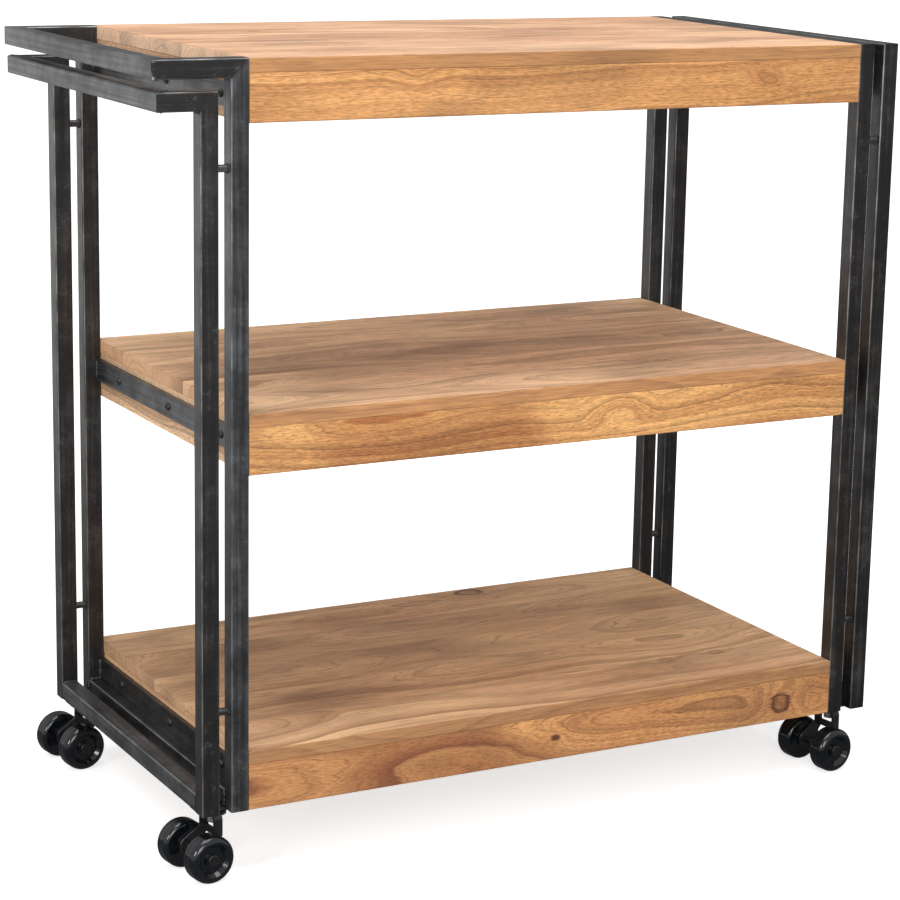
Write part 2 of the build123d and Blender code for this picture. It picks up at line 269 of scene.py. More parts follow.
def find_board(tree, grain, boards, seed):
    """A point's place in the wood and in its board, with the number and the chance values of that board."""
    start, width, face = boards
    place = add(tree, "ShaderNodeTexCoord", out="Object")
    axes = add(tree, "ShaderNodeSeparateXYZ", {0: place}).node.outputs
    along, across, into = (axes[letter] for letter in grain)
    feeds = {"Value": across, "From Min": start, "From Max": start + width}
    strip = add(tree, "ShaderNodeMapRange", feeds, clamp=False)
    count = add(tree, "ShaderNodeMath", {0: strip}, operation="FLOOR")
    number = add(tree, "ShaderNodeMath", {0: count, 1: board_step, 2: seed}, operation="MULTIPLY_ADD")
    chance = add(tree, "ShaderNodeTexWhiteNoise", {"W": number}, out="Color", noise_dimensions="1D")
    spot = add(tree, "ShaderNodeCombineXYZ", {0: along, 1: across, 2: into})
    return {
        "along": along,
        "across": across,
        "below": add(tree, "ShaderNodeMath", {0: into, 1: face}, operation="SUBTRACT"),
        "part": add(tree, "ShaderNodeMath", {0: strip}, operation="FRACT"),  # 0 to 1 across the board
        "number": number,
        "luck": add(tree, "ShaderNodeSeparateXYZ", {0: chance}).node.outputs,
        "spot": add(tree, "ShaderNodeVectorMath", {0: spot, 1: chance}, operation="ADD"),
    }


# %% [markdown]
# ### Growth rings
# A ring is a shell at one distance from the pith, so that distance is all that the rings need. Growth is
# never even: the pith strays, and the distance gets a slow, a quick and a fine waviness.

# %% Growth rings
growth_waves = (  # waves per metre along, across and into the grain, and their height in metres
    ((4, 26, 26), 0.013),
    ((22, 190, 190), 0.002),
    ((90, 600, 600), 0.0008),
)
least_depth, most_depth = 0.6, 1.4  # of the pith, in different boards
drift_share = 4  # the noise keeps near its middle, so it is made this much stronger


def grow_rings(tree, board, width, pith, seed):
    """Distance from the pith, and the waves in it."""
    depth, aside, stray = pith
    within = add(tree, "ShaderNodeMath", {0: board["part"], 1: 0.5}, operation="SUBTRACT")
    within = add(tree, "ShaderNodeMath", {0: within, 1: width}, operation="MULTIPLY")
    feeds = {"Value": board["luck"]["X"], "To Min": aside - stray, "To Max": aside + stray}
    sideways = add(tree, "ShaderNodeMapRange", feeds)
    feeds = {"Value": board["luck"]["Y"], "To Min": depth * least_depth, "To Max": depth * most_depth}
    deep = add(tree, "ShaderNodeMapRange", feeds)
    march = add(tree, "ShaderNodeMath", {0: board["along"], 1: pith_bends}, operation="MULTIPLY")
    walk = add(tree, "ShaderNodeCombineXYZ", {0: march, 1: board["number"], 2: seed})
    drift = add(tree, "ShaderNodeTexNoise", {"Vector": walk, "Scale": 1.0, "Detail": 1.0}, out="Color")
    drift = add(tree, "ShaderNodeVectorMath", {0: drift, 1: (0.5, 0.5, 0.5)}, operation="SUBTRACT")
    drift = add(tree, "ShaderNodeVectorMath", {0: drift, "Scale": drift_share * stray}, operation="SCALE")
    core = add(tree, "ShaderNodeCombineXYZ", {0: sideways, 1: deep})
    core = add(tree, "ShaderNodeVectorMath", {0: core, 1: drift}, operation="ADD")
    reach = add(tree, "ShaderNodeCombineXYZ", {0: within, 1: board["below"]})
    reach = add(tree, "ShaderNodeVectorMath", {0: reach, 1: core}, operation="SUBTRACT")
    reach = add(tree, "ShaderNodeVectorMath", {0: reach, 1: (1, 1, 0)}, operation="MULTIPLY")
    radius = add(tree, "ShaderNodeVectorMath", {0: reach}, out="Value", operation="LENGTH")
    waves = []
    for scale, height in growth_waves:
        at = add(tree, "ShaderNodeVectorMath", {0: board["spot"], 1: scale}, operation="MULTIPLY")
        wave = add(tree, "ShaderNodeTexNoise", {"Vector": at, "Scale": 1.0, "Detail": 2.0})
        wave = add(tree, "ShaderNodeMath", {0: wave, 1: 0.5}, operation="SUBTRACT")
        radius = add(tree, "ShaderNodeMath", {0: wave, 1: height, 2: radius}, operation="MULTIPLY_ADD")
        waves.append(wave)
    return radius, waves


# %% [markdown]
# ### Branches
# A branch pushes the rings outwards, so that they flow round it, and its cut end is a dark knot. The same
# step makes an eye with no knot in it, where the darkness is 0, and a soft smoky patch, where the rings
# hardly swell.

# %% Branches
cored_knot = ((0.0, "#8c8c8c"), (0.14, "#d0d0d0"), (0.26, "#a0a0a0"), (0.46, "#ffffff"), (0.62, "#000000"))
solid_knot = ((0.0, "#ffffff"), (0.42, "#e4e4e4"), (0.66, "#000000"))
smoky_patch = ((0.05, "#ffffff"), (0.4, "#a8a8a8"), (0.95, "#000000"))
swell_reach = 4.0  # how far a branch moves the rings, in radii of the branch
profile_reach = 2.0  # how far the profiles above go, in the same measure
wobble_share = 0.9  # how uneven the outline of a knot is


def grow_branches(tree, board, marks, radius, wobble):
    """The distance from the pith swollen round branches, and how dark the wood is in their knots."""
    stain = 0.0
    for along, across, size, stretch, swelling, darkness in marks:
        gap = add(tree, "ShaderNodeCombineXYZ", {0: board["along"], 1: board["across"]})
        gap = add(tree, "ShaderNodeVectorMath", {0: gap, 1: (along, across, 0)}, operation="SUBTRACT")
        gap = add(tree, "ShaderNodeVectorMath", {0: gap, 1: (stretch * size, size, 1)}, operation="DIVIDE")
        gap = add(tree, "ShaderNodeVectorMath", {0: gap}, out="Value", operation="LENGTH")
        gap = add(tree, "ShaderNodeMath", {0: wobble, 1: wobble_share, 2: gap}, operation="MULTIPLY_ADD")
        feeds = {"Value": gap, "From Max": swell_reach, "To Min": swelling * size, "To Max": 0.0}
        swell = add(tree, "ShaderNodeMapRange", feeds, interpolation_type="SMOOTHSTEP")
        radius = add(tree, "ShaderNodeMath", {0: radius, 1: swell}, operation="ADD")
        profile = cored_knot if size > small_knot else solid_knot
        if swelling <= 1:
            profile = smoky_patch
        dark = add(tree, "ShaderNodeMapRange", {"Value": gap, "From Max": profile_reach})
        dark = add(tree, "ShaderNodeValToRGB", {0: dark}, stops=profile)
        dark = add(tree, "ShaderNodeMath", {0: dark, 1: darkness}, operation="MULTIPLY")
        stain = add(tree, "ShaderNodeMath", {0: stain, 1: dark}, operation="MAXIMUM")
    return radius, stain


# %% [markdown]
# ### Growth lines and streaks
# Wood darkens slowly through a year's growth and stops at once, so a line is soft on one side and sharp on
# the other. Broad streaks of heartwood follow the same rings, which gives acacia its sharp wavy borders.
# Each ring and each streak has a strength of its own.

# %% Growth lines and streaks
fine_profile = ((0.0, "#000000"), (0.62, "#303030"), (0.88, "#ffffff"), (0.95, "#b0b0b0"), (1.0, "#000000"))
line_profile = ((0.0, "#000000"), (0.45, "#484848"), (0.86, "#d8d8d8"), (0.95, "#ffffff"), (1.0, "#000000"))
streak_profile = ((0.0, "#000000"), (0.3, "#3a3a3a"), (0.94, "#ffffff"), (1.0, "#000000"))
ring_kinds = (  # width, how rare the strong ones are, profile
    (fine_width, 1.0, fine_profile),
    (ring_width, 1.5, line_profile),
    (streak_width, 0.8, streak_profile),
)


def draw_rings(tree, radius, number):
    """Fine lines, strong lines and streaks of heartwood, each from 0 to 1."""
    layers = []
    for width, rarity, profile in ring_kinds:
        shell = add(tree, "ShaderNodeMath", {0: radius, 1: width}, operation="DIVIDE")
        shell = add(tree, "ShaderNodeMath", {0: shell, 1: number}, operation="ADD")
        count = add(tree, "ShaderNodeMath", {0: shell}, operation="FLOOR")
        phase = add(tree, "ShaderNodeMath", {0: shell}, operation="FRACT")
        strength = add(tree, "ShaderNodeTexWhiteNoise", {"W": count}, out="Value", noise_dimensions="1D")
        strength = add(tree, "ShaderNodeMath", {0: strength, 1: rarity}, operation="POWER")
        shape = add(tree, "ShaderNodeValToRGB", {0: phase}, stops=profile)
        layers.append(add(tree, "ShaderNodeMath", {0: shape, 1: strength}, operation="MULTIPLY"))
    return layers


# %% [markdown]
# ### Heartwood
# In some boards one stretch is heartwood all over, and redder than the rest. Its two borders follow the
# slow changes of colour, so they aren't straight. The streaks are added to it.

# %% Heartwood
border_sway = 0.22  # metres by which a border follows the slow changes of colour
border_soft = 0.02  # half the length over which it fades


def find_heartwood(tree, board, heart, cloud, streaks, streaky):
    """How red the wood is, from 0 to 1."""
    feeds = {0: cloud, 1: border_sway, 2: board["along"]}
    border = add(tree, "ShaderNodeMath", feeds, operation="MULTIPLY_ADD")
    first, last, red = heart
    for limit, soft in ((first, border_soft), (last, -border_soft)):
        middle = limit + border_sway / 2
        feeds = {"Value": border, "From Min": middle - soft, "From Max": middle + soft}
        side = add(tree, "ShaderNodeMapRange", feeds)
        red = add(tree, "ShaderNodeMath", {0: side, 1: red}, operation="MULTIPLY")
    feeds = {0: streaks, 1: streaky, 2: red}
    return add(tree, "ShaderNodeMath", feeds, operation="MULTIPLY_ADD", use_clamp=True)


# %% [markdown]
# ### Sides and corners
# The ends and the long edges of a board can get a tint of their own, which is painted light and shade:
# it gives each side the brightness and colour that the light leaves on it. The rounded corner between
# face and edge is made darker. No drawn mask is needed for this, because the surface's own direction
# tells: on a flat side it points along one axis, and on the rounding between two sides it doesn't. The
# steel uses the same to find its corners.


# %% Directions of a surface
def face_ways(tree):
    """How squarely a point faces along each axis, and the largest of the three."""
    facing = add(tree, "ShaderNodeTexCoord", out="Normal")
    facing = add(tree, "ShaderNodeVectorMath", {0: facing}, operation="ABSOLUTE")
    ways = add(tree, "ShaderNodeSeparateXYZ", {0: facing}).node.outputs
    most = add(tree, "ShaderNodeMath", {0: ways["X"], 1: ways["Y"]}, operation="MAXIMUM")
    most = add(tree, "ShaderNodeMath", {0: most, 1: ways["Z"]}, operation="MAXIMUM")
    return ways, most


# %% Sides and corners of a board
side_from, side_to = 0.7, 0.95  # how squarely a side faces its way where its tint begins and where it is full
corner_from, corner_to = 0.97, 0.85  # the same for a rounded corner, which faces no way squarely


def board_sides(tree, grain):
    """Where the ends, the long edges and the rounded corners of a board are, each from 0 to 1."""
    ways, most = face_ways(tree)
    ends, edges = (
        add(tree, "ShaderNodeMapRange", {"Value": ways[axis], "From Min": side_from, "From Max": side_to})
        for axis in grain[:2]
    )
    corner = add(tree, "ShaderNodeMapRange", {"Value": most, "From Min": corner_from, "From Max": corner_to})
    return ends, edges, corner


# %% [markdown]
# ### Fibres
# Oiled fibres play with the light in fine dashes, open pores are dark pits, and pale flecks lie between
# them. Pores crowd together where the wood is dark. Real pores are some 0.2 mm wide, too fine to show here,
# so all of it is drawn coarser than real. On the decks, which are seen at a low angle, the dashes are
# longer.

# %% Fibres
# Pores per metre along each way of the grain and how dark they are, then the same for the play of light
short_fibres = ((150, 1150, 1150), 0.5, (110, 800, 800), 0.22)  # dashes 7 mm long and 0.9 mm wide
long_fibres = ((40, 1000, 1000), 0.4, (26, 760, 760), 0.17)  # dashes 25 mm long and 1 mm wide


def lay_fibres(tree, spot, cloud, fibres):
    """Pores and pale flecks, each from 0 to 1, and the play of light as a factor near 1."""
    pores, _, shimmer, shimmer_strength = fibres
    at = add(tree, "ShaderNodeVectorMath", {0: spot, 1: pores}, operation="MULTIPLY")
    pits = add(tree, "ShaderNodeTexNoise", {"Vector": at, "Scale": 1.0, "Detail": 1.0})
    pits = add(tree, "ShaderNodeMath", {0: cloud, 1: -0.4, 2: pits}, operation="MULTIPLY_ADD")
    pits = add(tree, "ShaderNodeMapRange", {"Value": pits, "From Min": 0.35, "From Max": 0.5})
    at = add(tree, "ShaderNodeVectorMath", {0: spot, 1: flecks}, operation="MULTIPLY")
    shine = add(tree, "ShaderNodeTexNoise", {"Vector": at, "Scale": 1.0, "Detail": 2.0})
    shine = add(tree, "ShaderNodeMapRange", {"Value": shine, "From Min": 0.5, "From Max": 0.7})
    at = add(tree, "ShaderNodeVectorMath", {0: spot, 1: shimmer}, operation="MULTIPLY")
    play = add(tree, "ShaderNodeTexNoise", {"Vector": at, "Scale": 1.0, "Detail": 2.0})
    feeds = {"Value": play, "From Min": 0.3, "From Max": 0.7}
    feeds |= {"To Min": 1 - shimmer_strength, "To Max": 1 + shimmer_strength}
    return pits, shine, add(tree, "ShaderNodeMapRange", feeds)


# %% [markdown]
# ### The whole wood
# The layers go over each other: sapwood in slow changes of colour, heartwood, lines, the painted light
# and shade of the edges and the ends, smoky patches, pores, darker corners and knots. Oil leaves the wood
# half matt, and rougher in the pores.

# %% Acacia
smoke_colour, knot_colour = "#5d4636", "#4a2417"


def oiled_acacia(
    name, grain, boards, pith, colours, marks=(), heart=(0.0, 0.0, 0.0), streaky=0.8, lined=0.8, smoky=0.2,
    tone=1.0, fibres=short_fibres, edge=("#e0b07c", 0.0), end=("#e0b07c", 0.0), seed=0.0,
):
    """Acacia boards: warm, half matt and full of lines.

    grain: the axes along the boards, across their face and into it
    boards: the place of their first edge, their width and the level of their face
    pith: its depth, how far it lies to the side and how far it strays
    colours: pale, tan and brown wood, growth lines and pores
    marks: branches, each with its place along and across, size, stretch, swelling and darkness
    heart: from where to where along the board it is heartwood, and how red that is
    streaky, lined, smoky: strength of the streaks, the lines and the smoky patches
    tone: how light the boards are; above 1 it is painted light, which brightens a deck beyond its own colour
    fibres: fineness and strength of the pores and of the play of light
    edge, end: tint and strength of the painted light and shade on the long edges and on the ends"""
    material, tree = new_material(name)
    width = boards[1]
    pale, tan, brown, line, pore = colours
    board = find_board(tree, grain, boards, seed)
    radius, waves = grow_rings(tree, board, width, pith, seed)
    radius, stain = grow_branches(tree, board, marks, radius, waves[1])
    fine, lines, streaks = draw_rings(tree, radius, board["number"])
    ends, edges, corner = board_sides(tree, grain)

    at = add(tree, "ShaderNodeVectorMath", {0: board["spot"], 1: clouds}, operation="MULTIPLY")
    cloud = add(tree, "ShaderNodeTexNoise", {"Vector": at, "Scale": 1.0, "Detail": 3.0})
    wood = add(tree, "ShaderNodeValToRGB", {0: cloud}, stops=((0.36, tan), (0.6, pale)))
    red = find_heartwood(tree, board, heart, cloud, streaks, streaky)
    at = add(tree, "ShaderNodeVectorMath", {0: board["spot"], 1: smoke}, operation="MULTIPLY")
    haze = add(tree, "ShaderNodeTexNoise", {"Vector": at, "Scale": 1.0, "Detail": 2.0, "Roughness": 0.45})
    feeds = {"Value": haze, "From Min": 0.5, "From Max": 0.72, "To Max": smoky}
    haze = add(tree, "ShaderNodeMapRange", feeds)
    pits, shine, play = lay_fibres(tree, board["spot"], cloud, fibres)

    # The line of glue between two boards
    other = add(tree, "ShaderNodeMath", {0: 1.0, 1: board["part"]}, operation="SUBTRACT")
    glue = add(tree, "ShaderNodeMath", {0: board["part"], 1: other}, operation="MINIMUM")
    glue = add(tree, "ShaderNodeMath", {0: glue, 1: width}, operation="MULTIPLY")
    feeds = {"Value": glue, "From Max": glue_line, "To Min": 1.0, "To Max": 0.0}
    glue = add(tree, "ShaderNodeMapRange", feeds)

    for weight, strength, tint in (
        (shine, 0.5, pale),
        (red, 1.0, brown),
        (fine, 0.55, line),
        # Painted light and shade: tints on the long edges and on the ends
        (edges, edge[1], edge[0]),
        (ends, end[1], end[0]),
        (lines, lined, line),
        (haze, 1.0, smoke_colour),
        (pits, fibres[1], pore),
        # Darker on the rounded corners
        (corner, 0.35, line),
        (stain, 1.0, knot_colour),
        (glue, 0.6, line),
    ):
        weight = add(tree, "ShaderNodeMath", {0: weight, 1: strength}, operation="MULTIPLY")
        wood = add(tree, "ShaderNodeMix", {0: weight, 6: wood, 7: linear(tint)}, out=2, data_type="RGBA")

    # Each board's own depth of colour, and the play of light in it
    feeds = {"Value": board["luck"]["Z"], "To Min": 0.9 * tone, "To Max": 1.1 * tone}
    value = add(tree, "ShaderNodeMapRange", feeds)
    value = add(tree, "ShaderNodeMath", {0: value, 1: play}, operation="MULTIPLY")
    wood = add(tree, "ShaderNodeHueSaturation", {"Value": value, "Color": wood})

    rough = add(tree, "ShaderNodeMapRange", {"Value": pits, "To Min": 0.5, "To Max": 0.68})
    height = add(tree, "ShaderNodeMath", {0: lines, 1: 0.35, 2: pits}, operation="MULTIPLY_ADD")
    feeds = {"Strength": 0.3, "Distance": pore_depth, "Height": height}
    normal = add(tree, "ShaderNodeBump", feeds, invert=True)
    feeds = {"Base Color": wood, "Roughness": rough, "Specular IOR Level": 0.35, "Normal": normal}
    shader = add(tree, "ShaderNodeBsdfPrincipled", feeds)
    add(tree, "ShaderNodeOutputMaterial", {"Surface": shader})
    return material


# %% [markdown]
# ### Wood on the shelves
# The decks are glued from boards side by side, a little browner than the aprons, and each apron is one
# board on edge. The three shelves differ in colour and in their marks: knots, eyes and smoky patches sit
# where the photograph shows them. The broad smoky patches on the bottom and middle decks are painted
# shade, darkening them where the shelf above shades them. The middle deck is also made lighter, which is
# painted light, and the tints on the long edges and ends of the decks are painted light and shade. A mark
# has its place along and across, size, stretch, swelling and darkness.

# %% Looks of the decks
# Painted shade: the broad smoky patches, 40 to 55 mm in radius, darken the bottom and middle decks where
# and end tints are painted light and shade on those faces.
# the shelf above shades them. Painted light: a tone above 1 lightens the middle and top decks. The edge
decks = {
    "bottom": {
        "colours": ("#efc597", "#d9ab81", "#a87a56", "#704a36", "#7c583f"),
        "marks": (
            (0.292, -0.136, 0.006, 1.6, 1.5, 0.45), (0.220, -0.137, 0.006, 1.6, 1.5, 0.35),
            (0.143, 0.211, 0.011, 1.7, 1.3, 0.95), (0.060, 0.194, 0.008, 4.0, 1.2, 0.5),
            (-0.130, 0.214, 0.012, 14.0, 0.1, 0.45), (0.150, 0.205, 0.022, 3.0, 0.1, 0.35),
            (-0.300, 0.190, 0.030, 2.2, 0.2, 0.35), (-0.110, 0.040, 0.055, 2.4, 0.2, 0.28),
            (-0.225, -0.075, 0.040, 2.0, 0.2, 0.45),
        ),
        "tone": 1.0, "smoky": 0.38, "edge": ("#e2aa6c", 0.85), "end": ("#dcae85", 0.5),
    },
    "middle": {
        "colours": ("#efc79d", "#d6ac88", "#a57c5c", "#704c39", "#7a5942"),
        "marks": (
            (0.197, -0.140, 0.006, 1.6, 1.5, 0.4), (-0.215, -0.145, 0.024, 2.6, 0.2, 0.35),
            (-0.081, 0.010, 0.055, 2.6, 0.2, 0.45), (-0.200, -0.010, 0.050, 2.2, 0.2, 0.4),
            (0.142, -0.136, 0.014, 3.0, 1.2, 0.25),
        ),
        "tone": 1.38, "smoky": 0.52, "edge": ("#f0ae67", 0.85), "end": ("#b98b66", 0.7),
    },
    "top": {
        "colours": ("#efc39c", "#d9a987", "#a8795a", "#704a36", "#7c583f"),
        "tone": 1.05, "smoky": 0.45, "edge": ("#ffbc74", 0.9), "end": ("#fbd3b0", 0.88),
    },
}
print("marks on the decks", {level: len(look.get("marks", ())) for level, look in decks.items()})

# %% [markdown]
# The aprons are cut from other logs, redder and with bolder streaks. The rear aprons take the same colours
# with no marks, since nothing is known of them.

# %% Looks of the aprons
aprons = {
    "bottom": {
        "colours": ("#dca467", "#c38855", "#935c3b", "#633a26", "#714628"),
        "heart": (-0.5, -0.04, 0.45), "streaky": 0.7, "lined": 0.6, "smoky": 0.35,
    },
    "middle": {
        "colours": ("#f2bb79", "#dda163", "#ab6d3e", "#6b3d23", "#7d4e2c"),
        "heart": (-0.28, -0.02, 0.5), "streaky": 0.85, "lined": 0.75, "smoky": 0.3,
    },
    "top": {
        "colours": ("#e0a569", "#c68a53", "#9c5f36", "#694025", "#7a4c2c"),
        "streaky": 0.75, "lined": 0.75, "smoky": 0.5,
    },
}
front_marks = {
    "bottom": (
        (0.328, 0.094, 0.011, 1.2, 1.4, 0.95), (0.024, 0.097, 0.0034, 1.8, 1.4, 1.0),
        (-0.135, 0.090, 0.016, 5.0, 0.1, 0.3), (-0.140, 0.092, 0.011, 5.0, 2.0, 0.0),
    ),
    "middle": ((0.094, 0.470, 0.008, 2.0, 2.0, 0.0),),
    "top": (
        (0.266, 0.822, 0.006, 1.4, 3.0, 0.0), (0.289, 0.819, 0.005, 1.4, 3.0, 0.0),
        (-0.161, 0.832, 0.006, 1.8, 1.4, 0.0),
    ),
}
print("marks on the front aprons", {level: len(marks) for level, marks in front_marks.items()})

# %% [markdown]
# One recipe serves every board: what changes is the way that the grain runs, where the face lies and a
# seed, so no two boards are alike. The sizes of the boards are read from the CAD boxes.

# %% Wood on the shelves
deck_boards = 5
one_board = 1.0  # a board this wide covers an apron or a rail with no joint in it
level_seed = {"bottom": 3.0, "middle": 11.0, "top": 20.0}
front_seed, rear_seed, ends_seed = 1.7, 4.3, 6.1  # added to it for the other boards of a shelf
# Each pith has its depth, how far it lies to the side and how far it strays
deck_pith = (-0.04, 0.012, 0.024)
rail_pith = (-0.03, 0.02, 0.012)
apron_depth, apron_stray = 0.03, 0.012
apron_aside = {"bottom": 0.008, "middle": 0.034, "top": -0.042}

for level, seed in level_seed.items():
    low, high = box[f"{level}_deck"]
    boards = (low.y, (high.y - low.y) / deck_boards, high.z)
    dress(f"{level}_deck", oiled_acacia(
        f"oiled_acacia_{level}_deck", "XYZ", boards, deck_pith,
        lined=0.5, fibres=long_fibres, seed=seed, **decks[level],
    ))
    low, high = box[f"{level}_front_apron"]
    boards = ((low.z + high.z) / 2 - one_board / 2, one_board, low.y)
    dress(f"{level}_front_apron", oiled_acacia(
        f"oiled_acacia_{level}_front_apron", "XZY", boards, (apron_depth, apron_aside[level], apron_stray),
        marks=front_marks[level], seed=seed + front_seed, **aprons[level],
    ))
    low, high = box[f"{level}_rear_apron"]
    boards = ((low.z + high.z) / 2 - one_board / 2, one_board, high.y)
    dress(f"{level}_rear_apron", oiled_acacia(
        f"oiled_acacia_{level}_rear_apron", "XZY", boards, (-apron_depth, apron_aside[level], apron_stray),
        seed=seed + rear_seed, **aprons[level],
    ))
    low, high = box[f"{level}_end_rails"]
    boards = (low.z - one_board / 2, one_board, low.x)
    dress(f"{level}_end_rails", oiled_acacia(
        f"oiled_acacia_{level}_end_rails", "YZX", boards, rail_pith, decks[level]["colours"],
        seed=seed + ends_seed,
    ))
print("wood materials", sum(1 for m in bpy.data.materials if "acacia" in m.name))

# %% [markdown]
# ## Blackened steel
# The ends are mild steel tube, blackened and lacquered. The finish is satin, with cloudy patches from the
# blackening and faint drawing marks along each tube. Corners have rubbed to bare grey metal here and there,
# and the sides have a few pale scuffs. A flat grey would look like plastic: it is the uneven gloss that
# says steel.

# %% Wear on steel
# Per metre
steel_clouds = 15  # patches of 67 mm from the blackening
steel_blots = 46  # blots of 22 mm in them
steel_rubs = 30  # rubbed places 33 mm long on a corner
steel_scuffs = 380  # scuffs of 2.6 mm, coarser than real so that they show
steel_grit = 420  # grit of 2.4 mm in the lacquer, coarser than real
bare_metal, scuffed = "#8e8e8e", "#8a8b8e"


def find_wear(tree, place, blots, rubbed):
    """Where the corners are rubbed bare and where the sides are scuffed, each from 0 to 1."""
    most = face_ways(tree)[1]
    corner = add(tree, "ShaderNodeMapRange", {"Value": most, "From Min": 0.98, "From Max": 0.8})
    rubs = add(tree, "ShaderNodeTexNoise", {"Vector": place, "Scale": steel_rubs, "Detail": 4.0})
    feeds = {"Value": rubs, "From Min": 0.4, "From Max": 0.66, "To Min": 0.22 * rubbed, "To Max": rubbed}
    rubs = add(tree, "ShaderNodeMapRange", feeds)
    feeds = {"Vector": place, "Scale": steel_scuffs, "Detail": 3.0, "Roughness": 0.6}
    scuffs = add(tree, "ShaderNodeTexNoise", feeds)
    scuffs = add(tree, "ShaderNodeMath", {0: blots, 1: 0.8, 2: scuffs}, operation="MULTIPLY_ADD")
    feeds = {"Value": scuffs, "From Min": 1.03, "From Max": 1.16, "To Max": 0.18 * rubbed}
    scuffs = add(tree, "ShaderNodeMapRange", feeds)
    return add(tree, "ShaderNodeMath", {0: corner, 1: rubs}, operation="MULTIPLY"), scuffs


# %% [markdown]
# Colour, gloss and relief all come from the same mottle, because they have one cause: where the blackening
# is thin the steel is lighter and also smoother.

# %% Steel
tone_places = (0.4, 0.5, 0.6)  # where the dark, the middle and the light tone lie on the mottle
plain_tones = ("#151516", "#2f3032", "#4d4e52")
grit_height = 0.0003


def blackened_steel(name, marks, tones=plain_tones, rubbed=0.9, rough=(0.26, 0.46), bump=0.06):
    """Satin black steel: dark and cloudy, with a soft gloss along the tube.

    marks: drawing marks per metre along each axis
    tones: the darkest, the middle and the lightest tone
    rubbed: how much bare metal shows
    rough: least and most roughness
    bump: strength of the relief"""
    material, tree = new_material(name)
    place = add(tree, "ShaderNodeTexCoord", out="Object")
    at = add(tree, "ShaderNodeVectorMath", {0: place, 1: marks}, operation="MULTIPLY")
    drawn = add(tree, "ShaderNodeTexNoise", {"Vector": at, "Scale": 1.0, "Detail": 2.0})
    feeds = {"Vector": place, "Scale": steel_clouds, "Detail": 6.0, "Roughness": 0.68}
    patches = add(tree, "ShaderNodeTexNoise", feeds)
    feeds = {"Vector": place, "Scale": steel_blots, "Detail": 6.0, "Roughness": 0.72}
    blots = add(tree, "ShaderNodeTexNoise", feeds)
    mottle = add(tree, "ShaderNodeMix", {0: 0.4, 2: patches, 3: blots}, data_type="FLOAT")
    mottle = add(tree, "ShaderNodeMix", {0: 0.32, 2: mottle, 3: drawn}, data_type="FLOAT")
    colour = add(tree, "ShaderNodeValToRGB", {0: mottle}, stops=list(zip(tone_places, tones)))
    wear, scuffs = find_wear(tree, place, blots, rubbed)
    for weight, tint in ((wear, bare_metal), (scuffs, scuffed)):
        colour = add(tree, "ShaderNodeMix", {0: weight, 6: colour, 7: linear(tint)}, out=2, data_type="RGBA")
    feeds = {"Value": mottle, "From Min": 0.35, "From Max": 0.65, "To Min": rough[1], "To Max": rough[0]}
    roughness = add(tree, "ShaderNodeMapRange", feeds)
    grit = add(tree, "ShaderNodeTexNoise", {"Vector": place, "Scale": steel_grit, "Detail": 2.0})
    height = add(tree, "ShaderNodeMath", {0: grit, 1: 0.4, 2: drawn}, operation="MULTIPLY_ADD")
    normal = add(tree, "ShaderNodeBump", {"Strength": bump, "Distance": grit_height, "Height": height})
    feeds = {"Base Color": colour, "Metallic": wear, "Roughness": roughness, "Normal": normal}
    shader = add(tree, "ShaderNodeBsdfPrincipled", feeds)
    add(tree, "ShaderNodeOutputMaterial", {"Surface": shader})
    return material


# %% [markdown]
# Drawing marks run along a tube, so the same steel is made once for each axis. The right end, the rear
# posts, the bottom rails, the arms of the handle and the outer front post get a second, darker kind, which
# is painted shade: these parts lie in shade, and the darker colour stands in for it. Welds, forks and
# screws weren't drawn: their marks are the same in all directions.

# %% Kinds of steel
fine, coarse = 300, 7  # drawing marks per metre across and along a tube: 3 mm wide and 140 mm long
marks_along = {"X": (coarse, fine, fine), "Y": (fine, coarse, fine), "Z": (fine, fine, coarse)}
# Painted shade: darker tones for the steel parts that lie in shade
painted_shade_tones = ("#0b0a0a", "#1c1a19", "#363433")
steel_along = {}
shaded_along = {}
for axis, marks in marks_along.items():
    steel_along[axis] = blackened_steel(f"blackened_steel_along_{axis}", marks)
    shaded_along[axis] = blackened_steel(f"painted_shade_steel_along_{axis}", marks, painted_shade_tones)

weld_marks = (160, 160, 160)  # 6 mm
fork_marks = (150, 150, 150)  # 7 mm
screw_marks = (300, 300, 300)  # 3 mm
weld_tones = ("#0e0e0f", "#1f2021", "#3a3b3d")
seam_tones = ("#0a0a0a", "#121212", "#1c1c1c")
fork_tones = ("#121212", "#1d1d1d", "#2b2b2b")
screw_tones = ("#0b0b0b", "#131313", "#1e1e1e")
weld_steel = blackened_steel("weld_steel", weld_marks, weld_tones, rubbed=0.06, rough=(0.32, 0.5), bump=0.4)
seam_steel = blackened_steel("ground_weld_steel", weld_marks, seam_tones, rubbed=0.02)
fork_steel = blackened_steel("fork_steel", fork_marks, fork_tones, rubbed=0.5)
screw_steel = blackened_steel("black_oxide_screw", screw_marks, screw_tones, rubbed=0.05)
print("steel materials", [m.name for m in bpy.data.materials if "steel" in m.name])

# %% [markdown]
# The names of the CAD pieces say which way a tube runs: posts stand up, rails, bars and brackets run across
# the cart, arms and pins along it. So the finish is chosen by name, and a tube that is added later gets its
# own.

